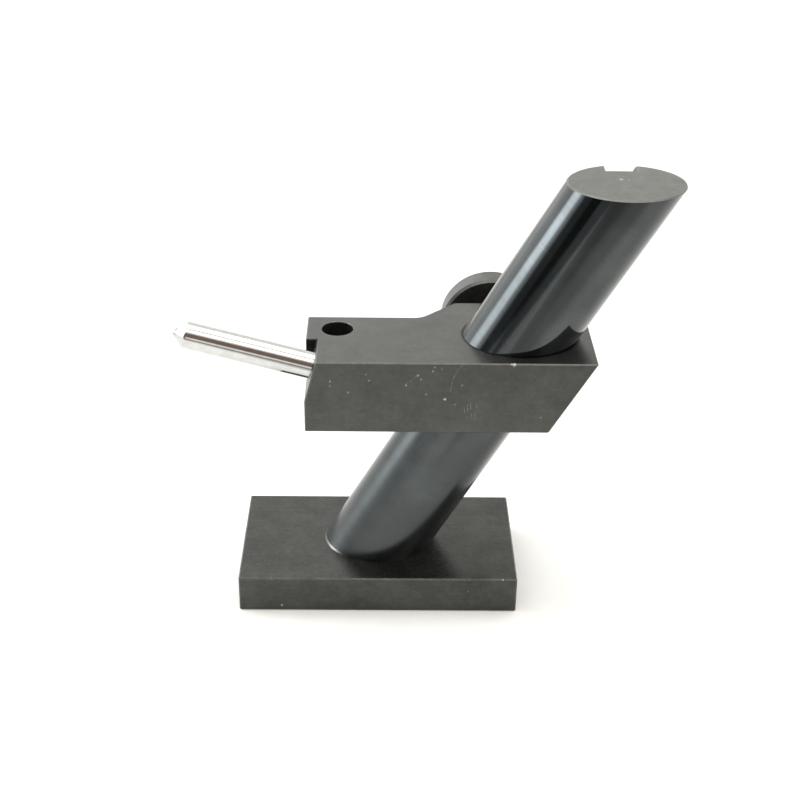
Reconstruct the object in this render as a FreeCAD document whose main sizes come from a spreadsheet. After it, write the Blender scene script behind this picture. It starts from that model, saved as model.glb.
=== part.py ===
import FreeCAD, Part
import os, math
import Sketcher
import PartDesign
from FreeCAD import Vector, Rotation, Placement

# Post-mounted holder for a pointed dressing tool.
#
# Frame: origin at the centre of the base plate's underside, +Z up,
# +X the way the post leans, -Y the front.  Millimetres.
#
# A flat plate carries a round post that leans 30 degrees.  A block slides on
# the post, guided by a shoe in the post's keyway and clamped by a hand knob at
# the back.  The block's arm holds a 3/8 in pointed tool, tilted 15 degrees.

doc = FreeCAD.newDocument("PostToolHolder")

# ---------------------------------------------------------------- dimensions
DIMS = [
    # base plate
    ("base_width", 101.6), ("base_depth", 55.6), ("base_height", 14.3),
    ("edge_break", 0.4),
    # post
    ("post_radius", 17.45), ("post_lean", 30.0), ("post_rise", 142.5),
    ("key_width", 9.5), ("key_floor", 11.5),
    # fixing screws and dowel between the plate and the post
    ("screw_left", 7.5), ("screw_right", 12.0), ("screw_radius", 3.97),
    ("screw_clear", 4.25), ("screw_tap", 4.02), ("screw_grip", 15.875),
    ("head_radius", 5.95), ("head_height", 7.94), ("sink_radius", 6.75),
    ("sink_deep", 8.7), ("tap_deep", 11.5), ("socket_flats", 6.35),
    ("socket_deep", 4.0),
    ("dowel_radius", 3.175), ("dowel_x", 3.0), ("dowel_y", 10.5), ("dowel_low", 8.5),
    ("dowel_high", 7.5), ("dowel_hole", 3.2),
    # block, measured from where the clamp screw's axis meets the post's axis
    ("block_high", 27.0), ("front_off", 22.5), ("arm_back", 13.5),
    ("hub_back", 26.1), ("arm_end", 67.485), ("slope_run", 4.1),
    ("shoulder_x", 26.985), ("hub_side", 21.7), ("inner_round", 7.0),
    ("outer_round", 2.0), ("block_bore", 17.53), ("block_break", 0.35),
    ("step_wall", 4.2),
    # tool seat in the sloped end of the arm
    ("seat_tilt", 15.0), ("seat_down", 6.1), ("seat_behind", 13.4),
    ("seat_radius", 4.85), ("seat_deep", 34.0), ("seat_screw", 14.8),
    # upright seat behind it
    ("upright_x", 56.685), ("upright_y", 3.8), ("upright_radius", 5.585),
    ("upright_break", 0.15),
    # grub screws and pads
    ("grub_radius", 3.175), ("grub_hole", 3.225), ("grub_long", 7.9),
    ("grub_short", 3.95), ("grub_flats", 3.175), ("grub_socket", 2.6),
    ("pad_radius", 3.1), ("pad_long", 4.2),
    # clamp
    ("stud_radius", 4.76), ("stud_hole", 4.81), ("nose_radius", 3.15),
    ("nose_long", 3.0), ("shoe_width", 9.3), ("shoe_high", 3.4),
    ("shoe_long", 18.0), ("shoe_socket", 3.2), ("shoe_sunk", 1.9),
    ("knob_radius", 18.5), ("knob_front", 35.2), ("knob_thick", 9.2),
    ("knob_break", 0.9), ("boss_radius", 8.5), ("boss_front", 29.6),
    ("stud_back", 44.0), ("roll_radius", 1.25), ("roll_hole", 1.28),
    ("roll_inner", 0.8), ("roll_long", 16.2), ("roll_y", 32.4),
    # dressing tool
    ("tool_radius", 4.7625), ("tool_reach", 48.95), ("tool_length", 76.2),
    ("cone_cut", 0.55), ("nib_radius", 1.9), ("nib_round", 1.3),
    ("nib_stem", 1.3), ("nib_stem_hole", 1.33), ("nib_deep", 5.0),
    ("tool_break", 0.6),
]
D = dict(DIMS)
sheet = doc.addObject("Spreadsheet::Sheet", "dims")
sheet.Label = "dims"
for i, (name, val) in enumerate(DIMS):
    sheet.set("A%d" % (i + 1), name)
    sheet.set("B%d" % (i + 1), "%.6g" % val)
    sheet.setAlias("B%d" % (i + 1), name)
doc.recompute()


class Q:
    """A length that is a sum of sheet values and plain numbers."""
    def __init__(self, *terms):
        v, parts = 0.0, []
        for t in terms:
            if isinstance(t, (int, float)):
                v += t
                parts.append("%.9g" % t)
            else:
                c, n = (1.0, t) if isinstance(t, str) else t
                v += c * D[n]
                parts.append("%.9g * dims.%s" % (c, n))
        self.v = v
        self.e = " + ".join("(%s)" % p for p in parts) if parts else "0"


def q(x):
    return x if isinstance(x, Q) else Q(x)


def plane(body, role):
    for o in body.Origin.OriginFeatures:
        if o.Role == role:
            return o


def new_body(name, place=None):
    b = doc.addObject("PartDesign::Body", name)
    b.Label = name
    b.Placement = place or Placement()
    return b


def new_sketch(body, name, role="XY_Plane", off=None, face=None):
    s = body.newObject("Sketcher::SketchObject", name)
    s.AttachmentSupport = [face] if face else [(plane(body, role), "")]
    s.MapMode = "FlatFace"
    if off is not None:
        s.AttachmentOffset = off
    return s


def bind(sk, geo, pos, x, y, tag):
    """Fix one point of a sketch by two sheet-driven distances."""
    for axis, val, k in (("DistanceX", q(x), "x"), ("DistanceY", q(y), "y")):
        if abs(val.v) < 1e-9:
            sk.addConstraint(Sketcher.Constraint("PointOnObject", geo, pos, -2 if k == "x" else -1))
        else:
            i = sk.addConstraint(Sketcher.Constraint(axis, -1, 1, geo, pos, val.v))
            sk.renameConstraint(i, tag + k)
            sk.setExpression("Constraints." + tag + k, val.e)


def polygon(sk, pts, tag="p"):
    pts = [(q(a), q(b)) for a, b in pts]
    n = len(pts)
    first = sk.GeometryCount
    for i in range(n):
        a, b = pts[i], pts[(i + 1) % n]
        sk.addGeometry(Part.LineSegment(Vector(a[0].v, a[1].v, 0), Vector(b[0].v, b[1].v, 0)), False)
    for i in range(n):
        sk.addConstraint(Sketcher.Constraint("Coincident", first + i, 2, first + (i + 1) % n, 1))
    for i in range(n):
        bind(sk, first + i, 1, pts[i][0], pts[i][1], "%s%d" % (tag, i))


def circle(sk, x, y, r, tag="c"):
    x, y, r = q(x), q(y), q(r)
    g = sk.addGeometry(Part.Circle(Vector(x.v, y.v, 0), Vector(0, 0, 1), r.v), False)
    bind(sk, g, 3, x, y, tag)
    i = sk.addConstraint(Sketcher.Constraint("Radius", g, r.v))
    sk.renameConstraint(i, tag + "r")
    sk.setExpression("Constraints." + tag + "r", r.e)
    return g


def hexagon(sk, x, y, flats, tag="h"):
    """Hexagon with its flats facing +-Y, across-flats driven by the sheet."""
    c = q(flats).v / math.sqrt(3.0)
    k = 1.0 / math.sqrt(3.0)
    x, y, f = q(x), q(y), q(flats)
    pts = []
    for a, b in ((2, 0), (1, 1), (-1, 1), (-2, 0), (-1, -1), (1, -1)):
        xx = Q()
        xx.v = x.v + a * k * f.v / 2.0
        xx.e = "%s + (%.12g) * (%s)" % (x.e, a * k / 2.0, f.e)
        yy = Q()
        yy.v = y.v + b * f.v / 2.0
        yy.e = "%s + (%.12g) * (%s)" % (y.e, b / 2.0, f.e)
        pts.append((xx, yy))
    polygon(sk, pts, tag)


def volume(body):
    return body.Shape.Volume


def pad(body, sk, length, name):
    f = body.newObject("PartDesign::Pad", name)
    f.Profile = sk
    f.Length = q(length).v
    f.setExpression("Length", q(length).e)
    doc.recompute()
    return f


def pocket(body, sk, length, name, rev=False):
    before = volume(body)
    f = body.newObject("PartDesign::Pocket", name)
    f.Profile = sk
    f.Length = q(length).v
    f.setExpression("Length", q(length).e)
    f.Reversed = rev
    doc.recompute()
    if not volume(body) < before - 1e-3:
        raise RuntimeError(name + " cut nothing")
    return f


def turn(body, sk, axis, name):
    f = body.newObject("PartDesign::Revolution", name)
    f.Profile = sk
    f.ReferenceAxis = (sk, [axis])
    f.Angle = 360.0
    doc.recompute()
    return f


def groove(body, sk, axis, name):
    before = volume(body)
    f = body.newObject("PartDesign::Groove", name)
    f.Profile = sk
    f.ReferenceAxis = (sk, [axis])
    f.Angle = 360.0
    doc.recompute()
    if not volume(body) < before - 1e-3:
        raise RuntimeError(name + " cut nothing")
    return f


def edges_where(shape, test):
    out = []
    for i, e in enumerate(shape.Edges):
        if test(e):
            out.append("Edge%d" % (i + 1))
    return out


def chamfer(body, names, size, name):
    base = body.Tip
    f = body.newObject("PartDesign::Chamfer", name)
    f.Base = (base, names)
    f.Size = q(size).v
    f.setExpression("Size", q(size).e)
    doc.recompute()
    return f


def fillet(body, names, size, name):
    base = body.Tip
    f = body.newObject("PartDesign::Fillet", name)
    f.Base = (base, names)
    f.Radius = q(size).v
    f.setExpression("Radius", q(size).e)
    doc.recompute()
    return f


def xz(y, x=0.0, z=0.0, turn_deg=0.0):
    """Offset for a sketch on the XZ plane: its plane at y, its origin at
    (x, z), turned clockwise as seen from the front by turn_deg."""
    # the sketch's own axes on this plane: X = body X, Y = body Z, Z = body -Y
    return Placement(Vector(x, z, -y), Rotation(Vector(0, 0, 1), -turn_deg))


def straight(e):
    return e.Curve.TypeId == "Part::GeomLine"


LEAN = math.radians(D["post_lean"])
TILT = math.radians(D["seat_tilt"])
POST_PLACE = Placement(Vector(0, 0, D["base_height"]), Rotation(Vector(0, 1, 0), D["post_lean"]))
BLOCK_Z = 86.5
BLOCK_X = (BLOCK_Z - D["base_height"]) * math.tan(LEAN)
BLOCK_PLACE = Placement(Vector(BLOCK_X, 0, BLOCK_Z), Rotation())

# ---------------------------------------------------------------- base plate
base = new_body("base_plate")
sk = new_sketch(base, "plate_outline")
polygon(sk, [(Q((-0.5, "base_width")), Q((-0.5, "base_depth"))), (Q((0.5, "base_width")), Q((-0.5, "base_depth"))),
             (Q((0.5, "base_width")), Q((0.5, "base_depth"))), (Q((-0.5, "base_width")), Q((0.5, "base_depth")))])
pad(base, sk, Q("base_height"), "plate")
chamfer(base, edges_where(base.Tip.Shape, straight), Q("edge_break"), "plate_edges")
sk = new_sketch(base, "sink_circles")
for s, n, t in ((-1, "screw_left", "a"), (1, "screw_right", "b")):
    circle(sk, Q((s, n)), 0.0, Q("sink_radius"), t)
pocket(base, sk, Q("sink_deep"), "screw_sinks", rev=True)
sk = new_sketch(base, "clear_circles")
for s, n, t in ((-1, "screw_left", "a"), (1, "screw_right", "b")):
    circle(sk, Q((s, n)), 0.0, Q("screw_clear"), t)
pocket(base, sk, Q("base_height"), "screw_holes", rev=True)
sk = new_sketch(base, "dowel_circle", off=Placement(Vector(0, 0, D["base_height"]), Rotation()))
circle(sk, Q("dowel_x"), Q((-1, "dowel_y")), Q("dowel_hole"))
pocket(base, sk, Q("dowel_low", 0.4), "dowel_seat")

# ---------------------------------------------------------------- post
# drawn upright on its own axis, then leaned over by its placement
post = new_body("leaning_post", POST_PLACE)
sk = new_sketch(post, "post_circle", off=Placement(Vector(0, 0, -20), Rotation()))
circle(sk, 0.0, 0.0, Q("post_radius"))
pad(post, sk, Q(220.0), "post_bar")
sk = new_sketch(post, "keyway_outline", off=Placement(Vector(0, 0, -25), Rotation()))
polygon(sk, [(Q((-0.5, "key_width")), Q("key_floor")), (Q((0.5, "key_width")), Q("key_floor")),
             (Q((0.5, "key_width")), Q("post_radius", 4.0)), (Q((-0.5, "key_width")), Q("post_radius", 4.0))])
pocket(post, sk, Q(240.0), "keyway", rev=True)
# foot and head are cut parallel to the plate
sk = new_sketch(post, "foot_cut_box", role="XZ_Plane", off=xz(-30.0, 0, 0, -D["post_lean"]))
polygon(sk, [(-60.0, -60.0), (60.0, -60.0), (60.0, 0.0), (-60.0, 0.0)])
pocket(post, sk, Q(60.0), "foot_cut")
hx, hz = D["post_rise"] * math.sin(-LEAN), D["post_rise"] * math.cos(LEAN)
sk = new_sketch(post, "head_cut_box", role="XZ_Plane", off=xz(-30.0, hx, hz, -D["post_lean"]))
polygon(sk, [(-130.0, 0.0), (200.0, 0.0), (200.0, 160.0), (-130.0, 160.0)])
pocket(post, sk, Q(60.0), "head_cut")
up = Vector(-math.sin(LEAN), 0, math.cos(LEAN))     # world up in the post's own frame


def in_post_plane(e, level):
    return all(abs(v.Point.dot(up) - level) < 1e-3 for v in e.Vertexes) and \
        abs(e.valueAt((e.FirstParameter + e.LastParameter) / 2).dot(up) - level) < 1e-3


chamfer(post, edges_where(post.Tip.Shape, lambda e: in_post_plane(e, D["post_rise"])), Q("edge_break"), "head_edge")
# tapped holes and the dowel's hole, square to the foot
foot = [i for i, f in enumerate(post.Tip.Shape.Faces)
        if f.Surface.TypeId == "Part::GeomPlane" and abs(f.CenterOfMass.dot(up)) < 1e-3 and abs(abs(f.normalAt(0, 0).dot(up)) - 1) < 1e-6][0]
base_feature = post.Tip
sk = new_sketch(post, "foot_tapping", face=(base_feature, "Face%d" % (foot + 1)))
doc.recompute()
inv = sk.Placement.inverse()


def on_foot(wx, wy):
    return inv.multVec(Vector(wx * math.cos(LEAN), wy, wx * math.sin(LEAN)))


for wx, t in ((-D["screw_left"], "a"), (D["screw_right"], "b")):
    p = on_foot(wx, 0.0)
    circle(sk, p.x, p.y, Q("screw_tap"), t)
pocket(post, sk, Q("tap_deep"), "foot_taps")
foot = [i for i, f in enumerate(post.Tip.Shape.Faces)
        if f.Surface.TypeId == "Part::GeomPlane" and abs(f.CenterOfMass.dot(up)) < 1e-3 and abs(abs(f.normalAt(0, 0).dot(up)) - 1) < 1e-6][0]
base_feature = post.Tip
sk = new_sketch(post, "foot_dowel", face=(base_feature, "Face%d" % (foot + 1)))
doc.recompute()
inv = sk.Placement.inverse()
p = on_foot(D["dowel_x"], -D["dowel_y"])
circle(sk, p.x, p.y, Q("dowel_hole"))
pocket(post, sk, Q("dowel_high", 0.6), "dowel_bore")

# ---------------------------------------------------------------- screws and dowel under the post
screws = []
for wx, t in ((-D["screw_left"], "left"), (D["screw_right"], "right")):
    b = new_body("post_screw_" + t, Placement(Vector(wx, 0, D["sink_deep"]), Rotation()))
    sk = new_sketch(b, "screw_profile_" + t, role="XZ_Plane")
    polygon(sk, [(0.0, Q((-1, "head_height"))), (Q("head_radius", -0.5), Q((-1, "head_height"))),
                 (Q("head_radius"), Q((-1, "head_height"), 0.5)), (Q("head_radius"), 0.0),
                 (Q("screw_radius"), 0.0), (Q("screw_radius"), Q("screw_grip", -0.8)),
                 (Q("screw_radius", -0.8), Q("screw_grip")), (0.0, Q("screw_grip"))])
    turn(b, sk, "V_Axis", "screw_" + t)
    sk = new_sketch(b, "screw_socket_" + t, off=Placement(Vector(0, 0, -D["head_height"]), Rotation()))
    hexagon(sk, 0.0, 0.0, Q("socket_flats"))
    pocket(b, sk, Q("socket_deep"), "screw_hex_" + t, rev=True)
    screws.append(b)

dowel = new_body("post_dowel", Placement(Vector(D["dowel_x"], -D["dowel_y"], D["base_height"]), Rotation()))
sk = new_sketch(dowel, "dowel_profile", role="XZ_Plane")
polygon(sk, [(0.0, Q((-1, "dowel_low"))), (Q("dowel_radius", -0.5), Q((-1, "dowel_low"))),
             (Q("dowel_radius"), Q((-1, "dowel_low"), 0.5)), (Q("dowel_radius"), Q("dowel_high", -0.5)),
             (Q("dowel_radius", -0.5), Q("dowel_high")), (0.0, Q("dowel_high"))])
turn(dowel, sk, "V_Axis", "dowel_pin")

# ---------------------------------------------------------------- sliding block
block = new_body("slide_block", BLOCK_PLACE)
sk = new_sketch(block, "block_outline", off=Placement(Vector(0, 0, -D["block_high"] / 2), Rotation()))
sk.setExpression("AttachmentOffset.Base.z", "-dims.block_high / 2")
polygon(sk, [(Q((-1, "arm_end")), Q((-1, "front_off"))), (60.0, Q((-1, "front_off"))), (60.0, Q("hub_back")),
             (Q((-1, "shoulder_x"), "hub_back", (-1, "arm_back")), Q("hub_back")),
             (Q((-1, "shoulder_x")), Q("arm_back")), (Q((-1, "arm_end")), Q("arm_back"))])
pad(block, sk, Q("block_high"), "block_bar")
# right end cut parallel to the post
sk = new_sketch(block, "end_cut_box", role="XZ_Plane", off=xz(-40.0, 0, 0, D["post_lean"]))
polygon(sk, [(Q("hub_side"), -80.0), (90.0, -80.0), (90.0, 80.0), (Q("hub_side"), 80.0)])
pocket(block, sk, Q(90.0), "end_cut", rev=False)
# the arm's front half is cut square to the tilted tool
TOPZ = D["block_high"] / 2
SEAT_X = -D["arm_end"] + D["slope_run"] - D["seat_down"] * math.sin(TILT)
SEAT_Z = TOPZ - D["seat_down"] * math.cos(TILT)
SEAT_Y = -D["seat_behind"]
# sketch axes after the turn: X runs into the arm along the tool, Y up the slope
sk = new_sketch(block, "slope_cut_box", role="XZ_Plane", off=xz(-D["step_wall"], SEAT_X, SEAT_Z, D["seat_tilt"]))
polygon(sk, [(-20.0, -40.0), (0.0, -40.0), (0.0, 20.0), (-20.0, 20.0)])
pocket(block, sk, Q(30.0), "slope_cut", rev=True)
# inner and outer corners of the step between arm and hub
sh = block.Tip.Shape


def upright_at(x, y):
    def test(e):
        return straight(e) and len(e.Vertexes) == 2 and all(abs(v.Point.x - x) < 1e-3 and abs(v.Point.y - y) < 1e-3 for v in e.Vertexes)
    return test


cx, cy = -D["shoulder_x"], D["arm_back"]
fillet(block, edges_where(sh, upright_at(cx, cy)), Q("inner_round"), "inner_corner")
hx2 = cx + D["hub_back"] - D["arm_back"]
fillet(block, edges_where(block.Tip.Shape, upright_at(hx2, D["hub_back"])), Q("outer_round"), "outer_corner")
# break the outside edges of the bar
sh = block.Tip.Shape


def outside(e):
    zs = [v.Point.z for v in e.Vertexes]
    flat = all(abs(abs(z) - TOPZ) < 1e-3 for z in zs) and abs(zs[0] - zs[-1]) < 1e-3
    ys = [v.Point.y for v in e.Vertexes]
    front = all(abs(y + D["front_off"]) < 1e-3 for y in ys)
    hub = all(abs(y - D["hub_back"]) < 1e-3 for y in ys) and straight(e)
    arm = all(abs(v.Point.x + D["arm_end"]) < 1e-3 and abs(v.Point.y - D["arm_back"]) < 1e-3 for v in e.Vertexes)
    return flat or front or hub or arm


names = edges_where(sh, outside)
chamfer(block, names, Q("block_break"), "block_edges")
# bore for the post
sk = new_sketch(block, "bore_half", role="XZ_Plane", off=xz(0.0, 0, 0, D["post_lean"]))
polygon(sk, [(0.0, -60.0), (Q("block_bore"), -60.0), (Q("block_bore"), 60.0), (0.0, 60.0)])
groove(block, sk, "V_Axis", "post_bore")
# tapped hole for the clamp stud, through the back wall
sk = new_sketch(block, "stud_circle", role="XZ_Plane", off=xz(D["hub_back"]))
circle(sk, 0.0, 0.0, Q("stud_hole"))
pocket(block, sk, Q("hub_back", -11.0), "stud_tap", rev=True)
# tilted seat for the dressing tool, drilled blind into the sloped end
sk = new_sketch(block, "seat_half", role="XZ_Plane", off=xz(SEAT_Y, SEAT_X, SEAT_Z, D["seat_tilt"]))
polygon(sk, [(-6.0, 0.0), (-6.0, Q("seat_radius")), (Q("seat_deep"), Q("seat_radius")), (Q("seat_deep", 2.9), 0.0)])
groove(block, sk, "H_Axis", "tool_seat")
# upright seat behind it
sk = new_sketch(block, "upright_circle", off=Placement(Vector(0, 0, -TOPZ - 1), Rotation()))
circle(sk, Q((-1, "upright_x")), Q("upright_y"), Q("upright_radius"))
pocket(block, sk, Q("block_high", 2.0), "upright_seat", rev=True)


def mouth(e):
    if e.Curve.TypeId != "Part::GeomCircle":
        return False
    c = e.Curve.Center
    return abs(c.x + D["upright_x"]) < 1e-3 and abs(c.y - D["upright_y"]) < 1e-3 and abs(abs(c.z) - TOPZ) < 1e-3


chamfer(block, edges_where(block.Tip.Shape, mouth), Q("upright_break"), "upright_mouths")
# grub screw hole for the tilted seat, drilled square to the tool from below
GX = SEAT_X + D["seat_screw"] * math.cos(TILT)
GZ = SEAT_Z - D["seat_screw"] * math.sin(TILT)
sk = new_sketch(block, "grub_half", role="XZ_Plane", off=xz(SEAT_Y, GX, GZ, D["seat_tilt"]))
polygon(sk, [(0.0, -30.0), (Q("grub_hole"), -30.0), (Q("grub_hole"), -1.0), (0.0, -1.0)])
groove(block, sk, "V_Axis", "tool_grub_tap")
# grub screw hole for the upright seat, from the arm's back face
sk = new_sketch(block, "upright_grub_circle", role="XZ_Plane", off=xz(D["arm_back"]))
circle(sk, Q((-1, "upright_x")), 0.0, Q("grub_hole"))
pocket(block, sk, Q("arm_back", (-1, "upright_y")), "upright_grub_tap", rev=True)

# ---------------------------------------------------------------- clamp: shoe, stud, knob, pin
shoe = new_body("clamp_shoe", Placement(Vector(BLOCK_X, 0, BLOCK_Z), Rotation(Vector(0, 1, 0), D["post_lean"])))
sk = new_sketch(shoe, "shoe_outline", role="XZ_Plane", off=xz(D["key_floor"] + 0.05))
polygon(sk, [(Q((-0.5, "shoe_width")), Q((-0.5, "shoe_long"))), (Q((0.5, "shoe_width")), Q((-0.5, "shoe_long"))),
             (Q((0.5, "shoe_width")), Q((0.5, "shoe_long"))), (Q((-0.5, "shoe_width")), Q((0.5, "shoe_long")))])
f = pad(shoe, sk, Q("shoe_high"), "shoe_bar")
f.Reversed = True
doc.recompute()
chamfer(shoe, edges_where(shoe.Tip.Shape, lambda e: straight(e) and all(v.Point.y > D["key_floor"] + 1 for v in e.Vertexes)), Q(0.4), "shoe_edges")
sk = new_sketch(shoe, "shoe_socket_circle", role="XZ_Plane", off=xz(D["key_floor"] + 0.05 + D["shoe_high"]))
circle(sk, 0.0, 0.0, Q("shoe_socket"))
pocket(shoe, sk, Q("shoe_sunk"), "shoe_socket_bore", rev=True)
shoe_top = D["key_floor"] + 0.05 + D["shoe_high"]

NOSE_Y = shoe_top - D["shoe_sunk"] + 0.05
stud = new_body("clamp_stud", BLOCK_PLACE)
sk = new_sketch(stud, "stud_profile", role="XY_Plane")
polygon(sk, [(0.0, NOSE_Y), (Q("nose_radius", -0.3), NOSE_Y), (Q("nose_radius"), NOSE_Y + 0.3),
             (Q("nose_radius"), Q(NOSE_Y, "nose_long")), (Q("stud_radius", -0.6), Q(NOSE_Y, "nose_long")),
             (Q("stud_radius"), Q(NOSE_Y, "nose_long", 0.6)), (Q("stud_radius"), Q("stud_back", -0.5)),
             (Q("stud_radius", -0.5), Q("stud_back")), (0.0, Q("stud_back"))])
turn(stud, sk, "V_Axis", "stud_rod")
sk = new_sketch(stud, "stud_roll_circle", off=Placement(Vector(0, 0, -10), Rotation()))
circle(sk, 0.0, Q("roll_y"), Q("roll_hole"))
pocket(stud, sk, Q(20.0), "stud_roll_hole", rev=True)

knob = new_body("clamp_knob", BLOCK_PLACE)
sk = new_sketch(knob, "knob_profile", role="XY_Plane")
HOLE = D["stud_radius"] + 0.03
polygon(sk, [(HOLE, Q("boss_front")), (Q("boss_radius", -0.5), Q("boss_front")), (Q("boss_radius"), Q("boss_front", 0.5)),
             (Q("boss_radius"), Q("knob_front")), (Q("knob_radius", (-1, "knob_break")), Q("knob_front")),
             (Q("knob_radius"), Q("knob_front", "knob_break")),
             (Q("knob_radius"), Q("knob_front", "knob_thick", (-1, "knob_break"))),
             (Q("knob_radius", (-1, "knob_break")), Q("knob_front", "knob_thick")),
             (HOLE + 0.6, Q("knob_front", "knob_thick")), (HOLE, Q("knob_front", "knob_thick", -0.6))])
turn(knob, sk, "V_Axis", "knob_disc")
sk = new_sketch(knob, "knob_roll_circle", off=Placement(Vector(0, 0, -20), Rotation()))
circle(sk, 0.0, Q("roll_y"), Q("roll_hole"))
pocket(knob, sk, Q(40.0), "knob_roll_hole", rev=True)

roll = new_body("knob_roll_pin", Placement(Vector(BLOCK_X, D["roll_y"], BLOCK_Z), Rotation()))
sk = new_sketch(roll, "roll_section", off=Placement(Vector(0, 0, -D["roll_long"] / 2), Rotation()))
circle(sk, 0.0, 0.0, Q("roll_radius"), "o")
circle(sk, 0.0, 0.0, Q("roll_inner"), "i")
pad(roll, sk, Q("roll_long"), "roll_tube")
sk = new_sketch(roll, "roll_slit", off=Placement(Vector(0, 0, -D["roll_long"] / 2 - 1), Rotation()))
polygon(sk, [(0.0, -0.25), (3.0, -0.25), (3.0, 0.25), (0.0, 0.25)])
pocket(roll, sk, Q("roll_long", 2.0), "roll_gap", rev=True)

# ---------------------------------------------------------------- dressing tool
# own frame: +X out of the seat along the tool, origin at its very tip
tx, tz = -math.cos(TILT), math.sin(TILT)
seat_world = Vector(BLOCK_X + SEAT_X, SEAT_Y, BLOCK_Z + SEAT_Z)
tip = seat_world + Vector(tx, 0, tz) * D["tool_reach"]
tool_place = Placement(tip, Rotation(Vector(0, 1, 0), 180.0 + D["seat_tilt"]))
shank = new_body("tool_shank", tool_place)
S0 = Q("cone_cut", (-1, "tool_radius"))                 # shoulder of the point
SN = Q("cone_cut", (-1, "nib_radius"))                  # where the nib takes over
R = Q("tool_radius")
sk = new_sketch(shank, "shank_profile", role="XY_Plane")
polygon(sk, [(Q((-1, "tool_length")), 0.0), (Q((-1, "tool_length")), Q("tool_radius", (-1, "tool_break"))),
             (Q((-1, "tool_length"), "tool_break"), R), (S0, R), (SN, Q("nib_radius")),
             (SN, Q("nib_stem_hole")), (Q("cone_cut", (-1, "nib_radius"), (-1, "nib_deep"), -0.1), Q("nib_stem_hole")),
             (Q("cone_cut", (-1, "nib_radius"), (-1, "nib_deep"), -0.1), 0.0)])
turn(shank, sk, "H_Axis", "shank_rod")

nib = new_body("tool_nib", tool_place)
sk = new_sketch(nib, "nib_profile", role="XY_Plane")
r = D["nib_round"]
# cone flank of 45 degrees running into a small ball
apex = D["cone_cut"]
cen = apex - r * math.sqrt(2.0)
ta = (cen + r / math.sqrt(2.0), r / math.sqrt(2.0))
tipx = cen + r
g = [Part.LineSegment(Vector(SN.v - D["nib_deep"], 0, 0), Vector(SN.v - D["nib_deep"], D["nib_stem"], 0)),
     Part.LineSegment(Vector(SN.v - D["nib_deep"], D["nib_stem"], 0), Vector(SN.v + 0.02, D["nib_stem"], 0)),
     Part.LineSegment(Vector(SN.v + 0.02, D["nib_stem"], 0), Vector(SN.v + 0.02, D["nib_radius"] - 0.02, 0)),
     Part.LineSegment(Vector(SN.v + 0.02, D["nib_radius"] - 0.02, 0), Vector(ta[0], ta[1], 0)),
     Part.Arc(Vector(ta[0], ta[1], 0), Vector(cen + r * math.cos(math.pi / 8), r * math.sin(math.pi / 8), 0), Vector(tipx, 0, 0)),
     Part.LineSegment(Vector(tipx, 0, 0), Vector(SN.v - D["nib_deep"], 0, 0))]
sk.addGeometry(g, False)
for k in range(6):
    a, b = k, (k + 1) % 6
    # an arc drawn backwards ends at its start point
    pe = 1 if k == 4 else 2
    ps = 2 if b == 4 else 1
    sk.addConstraint(Sketcher.Constraint("Coincident", a, pe, b, ps))
bind(sk, 0, 1, Q("cone_cut", (-1, "nib_radius"), (-1, "nib_deep")), 0.0, "a")
bind(sk, 1, 1, Q("cone_cut", (-1, "nib_radius"), (-1, "nib_deep")), Q("nib_stem"), "b")
bind(sk, 2, 1, Q("cone_cut", (-1, "nib_radius"), 0.02), Q("nib_stem"), "c")
bind(sk, 3, 1, Q("cone_cut", (-1, "nib_radius"), 0.02), Q("nib_radius", -0.02), "d")
sk.addConstraint(Sketcher.Constraint("PointOnObject", 4, 3, -1))
i = sk.addConstraint(Sketcher.Constraint("Radius", 4, r))
sk.renameConstraint(i, "ball")
sk.setExpression("Constraints.ball", "dims.nib_round")
sk.addConstraint(Sketcher.Constraint("PointOnObject", 5, 1, -1))
i = sk.addConstraint(Sketcher.Constraint("DistanceX", -1, 1, 4, 3, cen))
sk.renameConstraint(i, "ballx")
sk.setExpression("Constraints.ballx", "dims.cone_cut - dims.nib_round * sqrt(2)")
i = sk.addConstraint(Sketcher.Constraint("DistanceY", -1, 1, 4, 2, ta[1]))
sk.renameConstraint(i, "bally")
sk.setExpression("Constraints.bally", "dims.nib_round / sqrt(2)")
doc.recompute()
turn(nib, sk, "H_Axis", "nib_point")

# ---------------------------------------------------------------- grub screws and pads
# own frame of the tilted pair: origin on the tool's axis, -Z away from it
grub_world = Vector(BLOCK_X + GX, SEAT_Y, BLOCK_Z + GZ)
grub_place = Placement(grub_world, Rotation(Vector(0, 1, 0), D["seat_tilt"]))
pad_top = -(D["tool_radius"] + 0.02)
tool_pad = new_body("tool_pad", grub_place)
sk = new_sketch(tool_pad, "pad_profile", role="XZ_Plane")
polygon(sk, [(0.0, pad_top), (Q("pad_radius", -0.4), pad_top), (Q("pad_radius"), pad_top - 0.4),
             (Q("pad_radius"), Q(pad_top, (-1, "pad_long"))), (0.0, Q(pad_top, (-1, "pad_long")))])
turn(tool_pad, sk, "V_Axis", "pad_slug")
grub_top = pad_top - D["pad_long"] - 0.02


def grub(name, place, top, length):
    """Cup-point grub screw: point at +Z, hexagon socket at -Z."""
    b = new_body(name, place)
    s1 = new_sketch(b, name + "_profile", role="XZ_Plane")
    polygon(s1, [(0.0, top - 0.8), (1.3, top), (2.0, top), (Q("grub_radius"), top - 1.1),
                 (Q("grub_radius"), Q(top, (-1, length), 0.5)), (Q("grub_radius", -0.5), Q(top, (-1, length))),
                 (0.0, Q(top, (-1, length)))])
    turn(b, s1, "V_Axis", name + "_rod")
    s2 = new_sketch(b, name + "_hex", off=Placement(Vector(0, 0, top - D[length]), Rotation()))
    hexagon(s2, 0.0, 0.0, Q("grub_flats"))
    pocket(b, s2, Q("grub_socket"), name + "_socket", rev=True)
    return b


tool_grub = grub("tool_grub_screw", grub_place, grub_top, "grub_long")
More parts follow.
